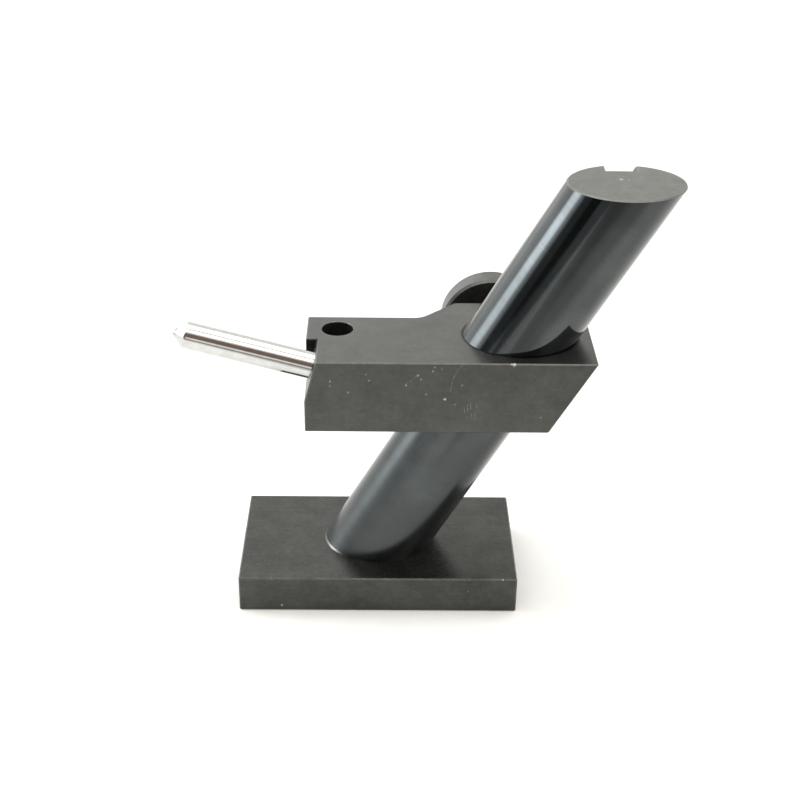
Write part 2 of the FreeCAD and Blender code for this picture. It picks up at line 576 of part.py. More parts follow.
# the upright seat's screw lies along Y, point to the front
up_place = Placement(Vector(BLOCK_X - D["upright_x"], D["arm_back"], BLOCK_Z), Rotation(Vector(1, 0, 0), 90.0))
up_grub = grub("upright_grub_screw", up_place, D["grub_short"] + 0.1, "grub_short")

# ---------------------------------------------------------------- check and write
doc.recompute()
NODES = [
    ("base_plate", [base]), ("leaning_post", [post]), ("post_screws", screws), ("post_dowel", [dowel]),
    ("slide_block", [block]), ("clamp_shoe", [shoe]), ("clamp_stud", [stud]), ("clamp_knob", [knob]),
    ("knob_roll_pin", [roll]), ("tool_shank", [shank]), ("tool_nib", [nib]), ("tool_pad", [tool_pad]),
    ("tool_grub_screw", [tool_grub]), ("upright_grub_screw", [up_grub]),
]
for o in doc.Objects:
    if "Invalid" in o.State or "Error" in o.State:
        raise RuntimeError("object in error: " + o.Name)
os.makedirs("parts", exist_ok=True)
for name, bodies in NODES:
    shapes = []
    for b in bodies:
        s = b.Shape.copy()
        if s.isNull() or not s.isValid() or len(s.Solids) != 1:
            raise RuntimeError("bad shape: " + name)
        shapes.append(s)
    out = shapes[0] if len(shapes) == 1 else Part.makeCompound(shapes)
    out.exportStep("parts/%s.step" % name)
    bb = out.BoundBox
    print("%-20s solids %d vol %.1f  x %.2f..%.2f y %.2f..%.2f z %.2f..%.2f" % (
        name, len(out.Solids), out.Volume, bb.XMin, bb.XMax, bb.YMin, bb.YMax, bb.ZMin, bb.ZMax))
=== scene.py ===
import math

import bmesh
import bpy
from mathutils import Matrix, Vector


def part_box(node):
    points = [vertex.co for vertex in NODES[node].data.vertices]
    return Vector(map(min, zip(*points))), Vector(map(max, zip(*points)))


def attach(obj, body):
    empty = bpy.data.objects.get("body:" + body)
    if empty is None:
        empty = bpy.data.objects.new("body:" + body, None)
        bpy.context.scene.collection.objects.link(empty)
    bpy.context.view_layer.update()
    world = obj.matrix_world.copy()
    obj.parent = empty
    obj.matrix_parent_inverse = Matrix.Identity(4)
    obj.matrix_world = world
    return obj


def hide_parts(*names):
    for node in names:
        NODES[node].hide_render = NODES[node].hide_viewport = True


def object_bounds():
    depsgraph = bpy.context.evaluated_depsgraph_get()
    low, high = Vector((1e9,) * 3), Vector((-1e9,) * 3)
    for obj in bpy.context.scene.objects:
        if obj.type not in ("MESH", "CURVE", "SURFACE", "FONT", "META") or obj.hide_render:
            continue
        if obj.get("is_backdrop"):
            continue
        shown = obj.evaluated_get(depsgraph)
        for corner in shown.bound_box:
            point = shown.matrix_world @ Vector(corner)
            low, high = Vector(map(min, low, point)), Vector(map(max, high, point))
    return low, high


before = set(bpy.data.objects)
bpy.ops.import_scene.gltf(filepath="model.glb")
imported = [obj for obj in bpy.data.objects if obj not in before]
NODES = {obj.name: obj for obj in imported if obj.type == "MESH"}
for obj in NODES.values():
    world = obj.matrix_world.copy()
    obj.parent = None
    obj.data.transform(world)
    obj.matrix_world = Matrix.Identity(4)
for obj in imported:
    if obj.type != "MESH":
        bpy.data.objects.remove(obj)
CAD_LO, CAD_HI = (v.copy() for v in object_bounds())

MM = 0.001
LEAN = math.radians(30.0)
TILT = math.radians(15.0)


# ---------------------------------------------------------------- node helper
class Mat:
    """A material whose nodes are wired by short calls; lengths are in millimetres of the part's own frame."""

    def __init__(self, name):
        self.m = bpy.data.materials.new(name)
        self.m.use_nodes = True
        self.t = self.m.node_tree
        self.t.nodes.clear()
        self.out = self.t.nodes.new("ShaderNodeOutputMaterial")
        self.b = self.t.nodes.new("ShaderNodeBsdfPrincipled")
        self.t.links.new(self.b.outputs["BSDF"], self.out.inputs["Surface"])
        tc = self.t.nodes.new("ShaderNodeTexCoord")
        s = self.t.nodes.new("ShaderNodeVectorMath")
        s.operation = "SCALE"
        s.inputs["Scale"].default_value = 1000.0
        self.t.links.new(tc.outputs["Object"], s.inputs[0])
        self.pos = s.outputs[0]

    def put(self, sock, v):
        if isinstance(v, bpy.types.NodeSocket):
            self.t.links.new(v, sock)
        elif isinstance(v, (tuple, list)) and sock.type == "RGBA" and len(v) == 3:
            sock.default_value = (*v, 1.0)
        else:
            sock.default_value = v

    def math(self, op, a, b=0.0, clamp=False):
        n = self.t.nodes.new("ShaderNodeMath")
        n.operation = op
        n.use_clamp = clamp
        self.put(n.inputs[0], a)
        self.put(n.inputs[1], b)
        return n.outputs[0]

    def vmath(self, op, a, b=(0.0, 0.0, 0.0)):
        n = self.t.nodes.new("ShaderNodeVectorMath")
        n.operation = op
        self.put(n.inputs[0], a)
        self.put(n.inputs[1], b)
        return n.outputs["Value"] if op in ("DOT_PRODUCT", "LENGTH", "DISTANCE") else n.outputs[0]

    def xyz(self, v=None):
        n = self.t.nodes.new("ShaderNodeSeparateXYZ")
        self.put(n.inputs[0], self.pos if v is None else v)
        return n.outputs

    def comb(self, x, y, z):
        n = self.t.nodes.new("ShaderNodeCombineXYZ")
        for i, v in enumerate((x, y, z)):
            self.put(n.inputs[i], v)
        return n.outputs[0]

    def stretch(self, scale, turn=(0.0, 0.0, 0.0), v=None, shift=(0.0, 0.0, 0.0)):
        """The position, turned and then scaled axis by axis."""
        r = self.t.nodes.new("ShaderNodeMapping")
        r.vector_type = "POINT"
        r.inputs["Rotation"].default_value = turn
        self.put(r.inputs["Vector"], self.pos if v is None else v)
        s = self.t.nodes.new("ShaderNodeMapping")
        s.vector_type = "POINT"
        s.inputs["Scale"].default_value = scale
        s.inputs["Location"].default_value = shift
        self.t.links.new(r.outputs[0], s.inputs["Vector"])
        return s.outputs[0]

    def noise(self, scale, detail=3.0, rough=0.55, v=None, dist=0.0):
        n = self.t.nodes.new("ShaderNodeTexNoise")
        self.put(n.inputs["Vector"], self.pos if v is None else v)
        n.inputs["Scale"].default_value = scale
        n.inputs["Detail"].default_value = detail
        n.inputs["Roughness"].default_value = rough
        n.inputs["Distortion"].default_value = dist
        return n.outputs[0]

    def cells(self, scale, v=None, rand=1.0):
        n = self.t.nodes.new("ShaderNodeTexVoronoi")
        self.put(n.inputs["Vector"], self.pos if v is None else v)
        n.inputs["Scale"].default_value = scale
        n.inputs["Randomness"].default_value = rand
        return n.outputs

    def span(self, v, a, b, lo=0.0, hi=1.0, smooth=False):
        n = self.t.nodes.new("ShaderNodeMapRange")
        n.interpolation_type = "SMOOTHSTEP" if smooth else "LINEAR"
        n.clamp = True
        self.put(n.inputs["Value"], v)
        n.inputs["From Min"].default_value = a
        n.inputs["From Max"].default_value = b
        n.inputs["To Min"].default_value = lo
        n.inputs["To Max"].default_value = hi
        return n.outputs[0]

    def mix(self, f, a, b, mode="MIX"):
        n = self.t.nodes.new("ShaderNodeMix")
        n.data_type = "RGBA"
        n.blend_type = mode
        self.put(n.inputs["Factor"], f)
        self.put([s for s in n.inputs if s.name == "A" and s.type == "RGBA"][0], a)
        self.put([s for s in n.inputs if s.name == "B" and s.type == "RGBA"][0], b)
        return [s for s in n.outputs if s.type == "RGBA"][0]

    def fmix(self, f, a, b):
        n = self.t.nodes.new("ShaderNodeMix")
        n.data_type = "FLOAT"
        self.put(n.inputs["Factor"], f)
        self.put(n.inputs["A"], a)
        self.put(n.inputs["B"], b)
        return n.outputs[0]

    def bump(self, height, distance, strength=1.0, normal=None):
        n = self.t.nodes.new("ShaderNodeBump")
        n.inputs["Strength"].default_value = strength
        n.inputs["Distance"].default_value = distance * MM
        self.put(n.inputs["Height"], height)
        if normal is not None:
            self.t.links.new(normal, n.inputs["Normal"])
        return n.outputs[0]

    def edge(self, radius, lo=0.02, hi=0.25):
        """1 on outside and inside edges within about radius, 0 on open faces."""
        n = self.t.nodes.new("ShaderNodeBevel")
        n.samples = 6
        n.inputs["Radius"].default_value = radius * MM
        g = self.t.nodes.new("ShaderNodeNewGeometry")
        d = self.vmath("DOT_PRODUCT", n.outputs[0], g.outputs["Normal"])
        return self.span(self.math("SUBTRACT", 1.0, d), lo, hi)

    def spots(self, places, soft=0.6):
        """Sum of small marks: (x, y, z, radius, strength)."""
        total = None
        wob = self.math("MULTIPLY", self.math("SUBTRACT", self.noise(2.2, 2.0), 0.5), 0.9)
        for x, y, z, r, s in places:
            d = self.vmath("DISTANCE", self.pos, (x, y, z))
            d = self.math("ADD", d, self.math("MULTIPLY", wob, r))
            k = self.span(d, r * soft, r, s, 0.0, smooth=True)
            total = k if total is None else self.math("MAXIMUM", total, k)
        return total

    def scratches(self, lines, width=0.12):
        """Sum of fine straight scratches: (ax, ay, az, bx, by, bz, strength)."""
        total = None
        for ax, ay, az, bx, by, bz, s in lines:
            a, b = Vector((ax, ay, az)), Vector((bx, by, bz))
            u = (b - a).normalized()
            rel = self.vmath("SUBTRACT", self.pos, tuple(a))
            along = self.vmath("DOT_PRODUCT", rel, tuple(u))
            ln = self.vmath("LENGTH", rel)
            off = self.math("SQRT", self.math("MAXIMUM", self.math("SUBTRACT", self.math("MULTIPLY", ln, ln), self.math("MULTIPLY", along, along)), 0.0))
            k = self.span(off, width * 0.35, width, 1.0, 0.0)
            ends = self.math("MULTIPLY", self.span(along, -0.2, 0.4), self.span(along, (b - a).length - 0.4, (b - a).length + 0.2, 1.0, 0.0))
            k = self.math("MULTIPLY", self.math("MULTIPLY", k, ends), s)
            total = k if total is None else self.math("MAXIMUM", total, k)
        return total

    def finish(self, color, rough, metal=0.0, normal=None, ior=1.5, spec=0.5, coat=0.0, coat_rough=0.1):
        b = self.b.inputs
        self.put(b["Base Color"], color)
        self.put(b["Roughness"], rough)
        self.put(b["Metallic"], metal)
        b["IOR"].default_value = ior
        b["Specular IOR Level"].default_value = spec
        b["Coat Weight"].default_value = coat
        b["Coat Roughness"].default_value = coat_rough
        if normal is not None:
            self.t.links.new(normal, b["Normal"])
        return self.m


# ---------------------------------------------------------------- materials
def oxide(name, dark, light, rough, along, marks=(), lines=(), ior=1.6, edge_r=0.5, edge_gain=0.6, flecks=0.35, shift=0.0, metallic=0.9, top=None, side_shading_gain=1.0, bore=None, shade=None):
    """Black oxide over ground steel: mottled, faint grinding lines, edges worn to bare metal."""
    m = Mat(name)
    blotch = m.noise(0.09, 4.0, 0.6, m.stretch((1, 1, 1), shift=(shift, 0, 0)))
    cloud = m.noise(0.55, 3.0, 0.6)
    grain = m.noise(3.2, 2.0, 0.7)
    lay = m.noise(1.0, 3.0, 0.6, m.stretch(along))
    tone = m.math("ADD", m.math("MULTIPLY", blotch, 0.40), m.math("MULTIPLY", cloud, 0.25))
    tone = m.math("ADD", tone, m.math("MULTIPLY", grain, 0.22))
    tone = m.math("ADD", tone, m.math("MULTIPLY", lay, 0.18))
    f = m.span(tone, 0.36, 0.70, smooth=True)
    col = m.mix(f, dark, light)
    ground = 1.0
    # painted light and shade: the side faces' colour is multiplied by a gain against the top face (ground is 1 on the
    # top face), lighter above 1 and darker below 1
    if top is not None:
        ground = m.span(m.xyz()[2], top - 0.12, top - 0.03)
        gain = m.fmix(ground, side_shading_gain, 1.0)
        col = m.mix(1.0, col, m.comb(gain, gain, gain), "MULTIPLY")
    # tiny pale flecks where the coat is thin
    cell = m.cells(0.9, m.stretch((1, 1, 1), shift=(3.7 + shift, 1.9, 5.3)))
    fleck = m.math("MULTIPLY", m.span(cell["Distance"], 0.05, 0.12, 1.0, 0.0), m.span(m.xyz(cell["Color"])[0], 0.90, 0.93))
    fleck = m.math("MULTIPLY", fleck, flecks)
    wear = m.edge(edge_r)
    patch = m.span(m.math("ADD", m.noise(0.22, 3.0, 0.6), m.math("MULTIPLY", m.noise(1.7, 2.0), 0.35)), 0.52, 0.86, 0.15, 1.0)
    bare = m.math("MULTIPLY", m.math("MULTIPLY", wear, patch), edge_gain)
    bare = m.math("MAXIMUM", bare, fleck)
    if marks:
        bare = m.math("MAXIMUM", bare, m.spots(marks))
    if lines:
        broken = m.span(m.noise(1.6, 3.0, 0.7), 0.42, 0.60)
        bare = m.math("MAXIMUM", bare, m.math("MULTIPLY", m.scratches(lines), broken))
    bare = m.math("MINIMUM", bare, 1.0)
    x, y, z = m.xyz()
    if bore:
        # grime and shadow in the thin gap round the post
        ex = m.math("DIVIDE", m.math("SUBTRACT", x, bore[0]), bore[1])
        ey = m.math("DIVIDE", y, bore[2])
        e = m.math("SQRT", m.math("ADD", m.math("MULTIPLY", ex, ex), m.math("MULTIPLY", ey, ey)))
        ring = m.math("MULTIPLY", m.span(e, 1.050, 1.028), ground)
        bare = m.math("MULTIPLY", bare, m.math("SUBTRACT", 1.0, ring))
        col = m.mix(m.math("MULTIPLY", ring, 0.88), col, (0.004, 0.004, 0.004))
    if shade:
        k = m.math("MULTIPLY", m.span(x, shade[0] + 0.2, shade[0]), m.math("MULTIPLY", m.span(m.math("ABSOLUTE", m.math("SUBTRACT", y, shade[1])), 0.25, 0.15), m.span(z, shade[2] - 1.0, shade[2])))
        k = m.math("MULTIPLY", k, m.math("SUBTRACT", 1.0, ground))
        col = m.mix(m.math("MULTIPLY", k, 0.8), col, (0.008, 0.008, 0.008))
    col = m.mix(bare, col, (0.42, 0.42, 0.40))
    r = m.math("ADD", rough - 0.09, m.math("MULTIPLY", cloud, 0.10))
    r = m.math("ADD", r, m.math("MULTIPLY", lay, 0.08))
    r = m.math("ADD", r, m.math("MULTIPLY", m.math("SUBTRACT", 1.0, ground), 0.10))
    r = m.fmix(bare, r, 0.34)
    h = m.math("ADD", m.math("MULTIPLY", grain, 0.55), m.math("MULTIPLY", lay, 0.45))
    nrm = m.bump(h, 0.016, 0.55)
    nrm = m.bump(m.math("MULTIPLY", bare, -1.0), 0.03, 0.6, nrm)
    return m.finish(col, r, m.fmix(bare, metallic, 0.45), nrm, ior=ior)


def post_material():
    """Ground and hot-blued bar: glossy blue-black flank, satin ends, milled keyway."""
    m = Mat("post_blued")
    x, y, z = m.xyz()[0], m.xyz()[1], m.xyz()[2]
    zz = m.math("SUBTRACT", z, 14.3)
    local_x = m.math("SUBTRACT", m.math("MULTIPLY", x, math.cos(LEAN)), m.math("MULTIPLY", zz, math.sin(LEAN)))
    local_z = m.math("ADD", m.math("MULTIPLY", x, math.sin(LEAN)), m.math("MULTIPLY", zz, math.cos(LEAN)))
    end = m.span(z, 156.30, 156.42)
    key = m.math("MULTIPLY", m.span(m.math("ABSOLUTE", local_x), 4.77, 4.80, 1.0, 0.0), m.span(y, 11.3, 11.4))
    satin = m.math("MAXIMUM", end, key)
    rings = m.noise(1.0, 4.0, 0.65, m.comb(m.math("MULTIPLY", local_x, 0.05), m.math("MULTIPLY", y, 0.05), m.math("MULTIPLY", local_z, 2.4)))
    long_ = m.noise(1.0, 3.0, 0.6, m.comb(m.math("MULTIPLY", local_x, 0.8), m.math("MULTIPLY", y, 0.8), m.math("MULTIPLY", local_z, 0.02)))
    blotch = m.noise(0.05, 4.0, 0.55)
    grain = m.noise(2.8, 2.0, 0.7)
    blue = m.mix(m.span(blotch, 0.38, 0.66, smooth=True), (0.060, 0.065, 0.067), (0.075, 0.082, 0.085))
    blue = m.mix(m.math("MULTIPLY", m.span(rings, 0.50, 0.75), 0.35), blue, (0.105, 0.110, 0.112))
    mill = m.noise(1.0, 3.0, 0.6, m.stretch((0.25, 3.2, 1.0), turn=(0, 0, 0.35)))
    tone = m.math("ADD", m.math("MULTIPLY", m.noise(0.22, 3.0, 0.6), 0.5), m.math("ADD", m.math("MULTIPLY", grain, 0.25), m.math("MULTIPLY", mill, 0.25)))
    grey = m.mix(m.span(tone, 0.36, 0.66, smooth=True), (0.112, 0.112, 0.106), (0.160, 0.160, 0.150))
    keyc = m.mix(m.span(tone, 0.36, 0.66), (0.060, 0.060, 0.057), (0.100, 0.100, 0.095))
    col = m.mix(key, blue, keyc)
    col = m.mix(end, col, grey)
    wear = m.math("MULTIPLY", m.edge(0.45), m.span(m.noise(0.35, 3.0, 0.6), 0.44, 0.66, 0.10, 0.55))
    marks = m.spots(((80.6, 2.9, 156.8, 0.8, 0.8), (83.0, 2.5, 156.8, 0.4, 0.5), (66.2, -4.5, 156.8, 0.3, 0.4)))
    fine = m.math("MULTIPLY", m.span(m.noise(4.5, 1.0, 0.5, m.stretch((1, 1, 1), shift=(9, 4, 2))), 0.80, 0.86), 0.35)
    foot = m.math("MULTIPLY", m.math("MULTIPLY", m.span(z, 15.2, 14.9), m.span(x, -13.0, -16.5)), 0.75)
    bare = m.math("MINIMUM", m.math("MAXIMUM", m.math("MAXIMUM", m.math("MAXIMUM", wear, foot), fine), marks), 1.0)
    col = m.mix(bare, col, (0.45, 0.45, 0.43))
    r = m.math("ADD", 0.032, m.math("MULTIPLY", rings, 0.065))
    r = m.math("ADD", r, m.math("MULTIPLY", long_, 0.04))
    r = m.math("ADD", r, m.span(z, 92.0, 30.0, 0.0, 0.13, smooth=True))
    r = m.math("ADD", r, m.math("MULTIPLY", grain, 0.03))
    r = m.fmix(satin, r, m.math("ADD", 0.34, m.math("MULTIPLY", grain, 0.12)))
    r = m.fmix(bare, r, 0.28)
    h = m.fmix(satin, m.math("ADD", m.math("MULTIPLY", grain, 0.35), m.math("ADD", m.math("MULTIPLY", rings, 0.6), m.math("MULTIPLY", long_, 0.4))), m.math("ADD", m.math("MULTIPLY", grain, 2.2), m.math("MULTIPLY", mill, 2.2)))
    nrm = m.bump(h, 0.0045, 0.5)
    # long shallow waves of a polished bar
    nrm = m.bump(m.noise(0.045, 1.0, 0.4), 0.05, 0.35, nrm)
    return m.finish(col, r, m.fmix(satin, 0.95, 0.85), nrm, ior=1.80)


def chrome_material():
    """Hard-chromed, polished shank: long fine polishing lines, a few handling marks."""
    m = Mat("shank_chrome")
    tip = Vector((-70.561, -13.4, 106.777))
    ax = Vector((math.cos(TILT), 0, -math.sin(TILT)))
    rel = m.vmath("SUBTRACT", m.pos, tuple(tip))
    s = m.vmath("DOT_PRODUCT", rel, tuple(ax))
    radial = m.vmath("SUBTRACT", rel, m.vscale(tuple(ax), s))
    rx, ry, rz = m.xyz(radial)
    rings = m.noise(1.0, 3.0, 0.6, m.comb(m.math("MULTIPLY", s, 3.0), m.math("MULTIPLY", ry, 0.12), m.math("MULTIPLY", rz, 0.12)))
    long_ = m.noise(1.0, 2.0, 0.5, m.comb(m.math("MULTIPLY", s, 0.06), m.math("MULTIPLY", ry, 1.2), m.math("MULTIPLY", rz, 1.2)))
    cloud = m.noise(0.35, 3.0, 0.6)
    col = m.mix(m.span(cloud, 0.35, 0.68, smooth=True), (0.525, 0.525, 0.52), (0.595, 0.595, 0.585))
    pit = m.math("MULTIPLY", m.span(m.cells(0.75)["Distance"], 0.03, 0.07, 1.0, 0.0), m.span(m.xyz(m.cells(0.75)["Color"])[1], 0.82, 0.86))
    cone = m.span(s, 4.0, 4.3, 1.0, 0.0)
    col = m.mix(m.math("MULTIPLY", pit, 0.55), col, (0.30, 0.29, 0.27))
    col = m.mix(m.math("MULTIPLY", cone, 0.35), col, (0.52, 0.52, 0.515))
    r = m.math("ADD", 0.045, m.math("MULTIPLY", rings, 0.05))
    r = m.math("ADD", r, m.math("MULTIPLY", cone, 0.10))
    r = m.math("ADD", r, m.math("MULTIPLY", pit, 0.25))
    h = m.math("ADD", m.math("MULTIPLY", rings, 0.5), m.math("MULTIPLY", long_, 0.5))
    h = m.math("SUBTRACT", h, m.math("MULTIPLY", pit, 2.0))
    nrm = m.bump(h, 0.0022, 0.5)
    nrm = m.bump(m.noise(0.12, 1.0, 0.4), 0.02, 0.35, nrm)
    return m.finish(col, r, 1.0, nrm)


def _vscale(self, vec, f):
    n = self.t.nodes.new("ShaderNodeVectorMath")
    n.operation = "SCALE"
    self.put(n.inputs[0], vec)
    self.put(n.inputs["Scale"], f)
    return n.outputs[0]


Mat.vscale = _vscale


def metal(name, a, b, rough, along=(0.3, 0.3, 3.0), metallic=1.0, ior=1.5, edge_gain=0.4, bump=0.008):
    """Plain turned or ground metal with lay lines, clouding and brighter edges."""
    m = Mat(name)
    lay = m.noise(1.0, 4.0, 0.6, m.stretch(along))
    cloud = m.noise(0.4, 3.0, 0.6)
    grain = m.noise(4.0, 2.0, 0.7)
    f = m.span(m.math("ADD", m.math("MULTIPLY", lay, 0.5), m.math("MULTIPLY", cloud, 0.5)), 0.36, 0.66, smooth=True)
    col = m.mix(f, a, b)
    wear = m.math("MULTIPLY", m.edge(0.3), m.span(cloud, 0.4, 0.7, 0.2, edge_gain))
    col = m.mix(wear, col, (0.62, 0.61, 0.58))
    r = m.math("ADD", rough - 0.06, m.math("MULTIPLY", lay, 0.12))
    h = m.math("ADD", m.math("MULTIPLY", lay, 0.7), m.math("MULTIPLY", grain, 0.3))
    return m.finish(col, r, metallic, m.bump(h, bump, 0.5), ior=ior)


def knob_material():
    """Turned and oxidised knob: fine rings round the Y axis, worn rim edges."""
    m = Mat("knob_oxide")
    lo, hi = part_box("clamp_knob")
    cx, cz = (lo.x + hi.x) / 2 / MM, (lo.z + hi.z) / 2 / MM
    x, y, z = m.xyz()
    dx, dz = m.math("SUBTRACT", x, cx), m.math("SUBTRACT", z, cz)
    rad = m.math("SQRT", m.math("ADD", m.math("MULTIPLY", dx, dx), m.math("MULTIPLY", dz, dz)))
    rings = m.noise(1.0, 3.0, 0.65, m.comb(m.math("MULTIPLY", rad, 3.0), m.math("MULTIPLY", y, 3.0), m.math("MULTIPLY", dx, 0.02)))
    cloud = m.noise(0.3, 3.0, 0.6)
    grain = m.noise(3.4, 2.0, 0.7)
    tone = m.math("ADD", m.math("MULTIPLY", rings, 0.45), m.math("ADD", m.math("MULTIPLY", cloud, 0.3), m.math("MULTIPLY", grain, 0.25)))
    col = m.mix(m.span(tone, 0.38, 0.66, smooth=True), (0.075, 0.075, 0.071), (0.125, 0.125, 0.118))
    bare = m.math("MULTIPLY", m.edge(0.45), m.span(m.noise(0.3, 3.0, 0.6), 0.44, 0.68, 0.1, 0.55))
    col = m.mix(bare, col, (0.42, 0.42, 0.40))
    r = m.math("ADD", 0.27, m.math("MULTIPLY", rings, 0.12))
    nrm = m.bump(m.math("ADD", m.math("MULTIPLY", rings, 0.8), m.math("MULTIPLY", grain, 0.2)), 0.014, 0.6)
    return m.finish(col, r, 0.88, nrm, ior=1.6)


FRONT = -22.5
DOTS = [(22.5, 86.2, 0.55, 0.9), (9.1, 91.5, 0.45, 0.55), (13.1, 95.4, 0.5, 0.5), (14.2, 93.9, 0.35, 0.4), (18.2, 97.0, 0.4, 0.45), (18.8, 98.5, 0.35, 0.4),
        (21.2, 97.8, 0.3, 0.3), (16.0, 88.1, 0.4, 0.3), (28.2, 91.7, 0.35, 0.35), (-4.6, 95.6, 0.35, 0.3), (-3.5, 93.3, 0.4, 0.35), (-16.8, 92.8, 0.4, 0.45),
        (-16.9, 91.0, 0.35, 0.4), (-10.7, 88.6, 0.45, 0.35), (26.0, 84.2, 0.35, 0.3), (55.9, 79.3, 0.4, 0.3)]
BLOCK_LINES = [(28.6, 100.0, 26.4, 97.4, 0.55), (26.4, 97.4, 24.9, 93.6, 0.45), (24.9, 93.6, 24.3, 89.2, 0.5), (9.1, 91.9, 11.1, 93.8, 0.4), (11.1, 93.8, 13.8, 95.8, 0.4),
               (29.2, 83.0, 29.6, 80.4, 0.5), (30.3, 84.3, 30.6, 81.2, 0.55), (31.3, 85.0, 31.6, 82.0, 0.5), (31.6, 81.0, 32.2, 78.6, 0.5), (33.0, 80.8, 33.2, 78.2, 0.5),
               (33.4, 84.6, 33.7, 82.4, 0.4), (30.0, 79.9, 30.4, 78.4, 0.35), (-16.7, 94.4, -16.9, 92.0, 0.35), (51.0, 96.5, 53.2, 95.2, 0.25), (3.0, 84.0, 6.2, 83.1, 0.2)]
PLATE = oxide("plate_oxide", (0.043, 0.043, 0.0403), (0.077, 0.077, 0.0715), 0.26, (0.05, 2.2, 2.2), ior=1.5, edge_gain=1.0, top=14.3, side_shading_gain=1.10,
              marks=((-35.3, -27.8, 2.3, 0.45, 0.8), (45.5, -27.7, 14.2, 0.4, 0.7), (33.0, -27.8, 8.8, 0.3, 0.35)),
              lines=((-24.0, -27.8, 6.1, -19.5, -27.8, 5.2, 0.25), (12.0, -27.8, 9.4, 14.8, -27.8, 8.0, 0.3), (14.0, -27.8, 7.9, 16.4, -27.8, 6.0, 0.25)))
BLOCK = oxide("block_oxide", (0.072, 0.072, 0.068), (0.110, 0.110, 0.104), 0.24, (0.06, 2.0, 2.0), ior=1.6, edge_gain=0.9, shift=40.0, top=100.0, side_shading_gain=0.86, bore=(49.479, 20.15, 17.45), shade=(-8.0, -4.2, 82.0),
              marks=[(x, FRONT, z, r, v) for x, z, r, v in DOTS] + [(45.7, -22.3, 99.7, 0.75, 0.85), (44.9, -22.4, 99.9, 0.5, 0.6), (58.7, -15.8, 100.0, 0.55, 1.0), (12.0, -9.0, 100.0, 0.3, 0.3)],
              lines=[(a, FRONT, b, c, FRONT, d, v) for a, b, c, d, v in BLOCK_LINES])
KNOB = knob_material()
POST = post_material()
CHROME = chrome_material()
SCREW = metal("screw_black", (0.050, 0.050, 0.050), (0.110, 0.108, 0.104), 0.38, metallic=0.55)
STEEL = metal("ground_pin_steel", (0.36, 0.355, 0.34), (0.52, 0.515, 0.50), 0.26)
BRASS = metal("turned_brass", (0.55, 0.38, 0.16), (0.74, 0.54, 0.26), 0.28)
NIB = metal("nib_carbide", (0.30, 0.30, 0.30), (0.46, 0.46, 0.45), 0.22, along=(2.0, 2.0, 2.0))

for names, mat in ((("base_plate",), PLATE), (("slide_block",), BLOCK), (("clamp_knob",), KNOB), (("leaning_post",), POST),
                   (("post_screws", "clamp_stud", "tool_grub_screw", "upright_grub_screw"), SCREW),
                   (("post_dowel", "knob_roll_pin"), STEEL), (("clamp_shoe", "tool_pad"), BRASS),
                   (("tool_shank",), CHROME), (("tool_nib",), NIB)):
    for n in names:
        for s in NODES[n].material_slots:
            s.material = mat


# ---------------------------------------------------------------- new pieces
def lathe(name, profile, place, segs=160, mat=None, body=None, replaces=()):
    """Closed solid turned about its own X: profile is (x, r) from one end to the other, in mm."""
    bm = bmesh.new()
    rings = []
    for x, r in profile:
        if r < 1e-6:
            rings.append([bm.verts.new((x * MM, 0, 0))])
        else:
            rings.append([bm.verts.new((x * MM, r * MM * math.cos(2 * math.pi * k / segs), r * MM * math.sin(2 * math.pi * k / segs))) for k in range(segs)])
    for a, b in zip(rings, rings[1:]):
        for k in range(segs):
            k2 = (k + 1) % segs
            if len(a) == 1:
                bm.faces.new((a[0], b[k2], b[k]))
            elif len(b) == 1:
                bm.faces.new((a[k], a[k2], b[0]))
            else:
                bm.faces.new((a[k], a[k2], b[k2], b[k]))
    bmesh.ops.recalc_face_normals(bm, faces=bm.faces)
    me = bpy.data.meshes.new(name)
    bm.to_mesh(me)
    bm.free()
    ob = bpy.data.objects.new(name, me)
    bpy.context.scene.collection.objects.link(ob)
    me.transform(place)
    me.polygons.foreach_set("use_smooth", [True] * len(me.polygons))
    me.set_sharp_from_angle(angle=math.radians(32))
    me.materials.append(mat)
    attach(ob, body)
    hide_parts(*replaces)
    return ob


def arc(cx, cr, r, a0, a1, n):
    return [(cx + r * math.cos(math.radians(a0 + (a1 - a0) * i / n)), cr + r * math.sin(math.radians(a0 + (a1 - a0) * i / n))) for i in range(n + 1)]


# dressing tool's shank: own X runs out of the seat to the point, origin at the tip
TIP = Vector((-70.561, -13.4, 106.777)) * MM
TOOL_PLACE = Matrix.Translation(TIP) @ Matrix.Rotation(math.pi + TILT, 4, "Y")
R, L = 4.7625, 76.2
q = 0.7                                        # rounding where the cone meets the shank
k = q * math.tan(math.radians(22.5))
sx = 0.55 - R                                  # cone shoulder
prof = [(-L, 0.0), (-L, R - 0.7)] + arc(-L + 0.6, R - 0.6, 0.6, 180, 90, 6) + [(-L + 1.2, R)]
prof += [(-L + 3 + i * (L - 3 + sx - k - 1) / 24, R) for i in range(25)]
prof += arc(sx - k, R - q, q, 90, 45, 6)
SN = 0.55 - 1.9
prof += [(sx + 0.6, 0.55 - sx - 0.6), (SN, 1.9), (SN - 0.05, 1.34), (SN - 5.08, 1.33), (SN - 5.1, 0.0)]
lathe("dresser_shank", prof, TOOL_PLACE, mat=CHROME, body="tool", replaces=("tool_shank",))


